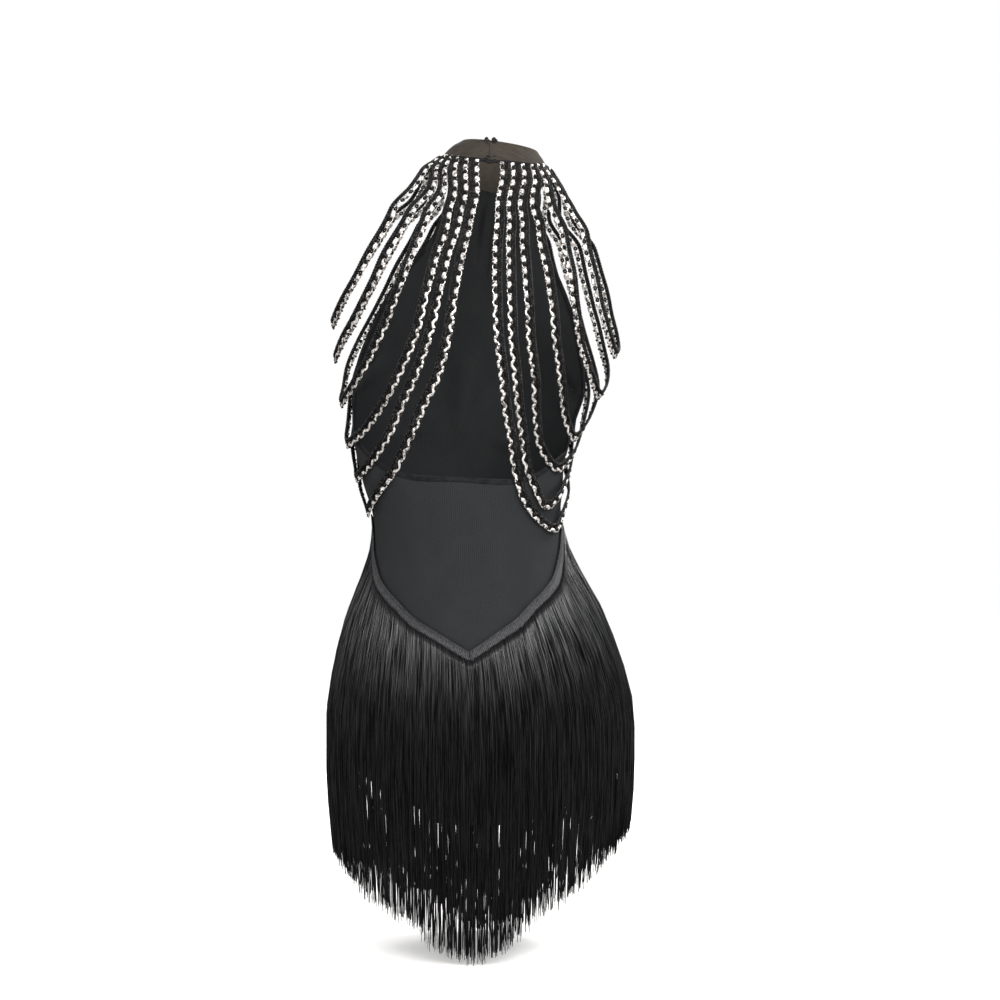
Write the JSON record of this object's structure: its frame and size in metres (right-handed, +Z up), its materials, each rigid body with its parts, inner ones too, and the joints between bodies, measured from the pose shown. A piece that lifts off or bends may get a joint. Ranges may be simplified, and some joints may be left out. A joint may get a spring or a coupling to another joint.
{
  "type": "latin dance dress",
  "caption": "Halter leotard dress with a neckband, an open back crossed by hanging braided loops, and a pointed hip tape of long fringe.",
  "frame": {"origin": "centre of the neckband, level with the middle of its height, where the wearer's neck holds the dress up", "axes": "+Z up along the dress, -Y out of its front, +X to the wearer's left"},
  "size_m": [0.3222, 0.2499, 0.8473],
  "materials": {
    "body_cloth": "matte stretch jersey",
    "band_cloth": "matte stretch jersey",
    "fringe_thread": "silky rayon fringe",
    "loop_trim": "braided trim with silver thread",
    "hook_wire": "black enamel"
  },
  "bodies": {
    "root": {"neckband": "band_cloth", "eye_lower": "hook_wire", "eye_upper": "hook_wire", "hook_lower": "hook_wire", "hook_upper": "hook_wire", "front_bodice": "body_cloth", "back_panel": "body_cloth", "back_brief": "body_cloth", "front_brief": "body_cloth", "fringe_back_left": "fringe_thread", "fringe_back_right": "fringe_thread", "fringe_front_left": "fringe_thread", "fringe_front_right": "fringe_thread", "loop_left_1": "loop_trim", "loop_left_2": "loop_trim", "loop_left_3": "loop_trim", "loop_left_4": "loop_trim", "loop_left_5": "loop_trim", "loop_left_6": "loop_trim", "loop_right_1": "loop_trim", "loop_right_2": "loop_trim", "loop_right_3": "loop_trim", "loop_right_4": "loop_trim", "loop_right_5": "loop_trim", "loop_right_6": "loop_trim"}
  },
  "joints": []
}
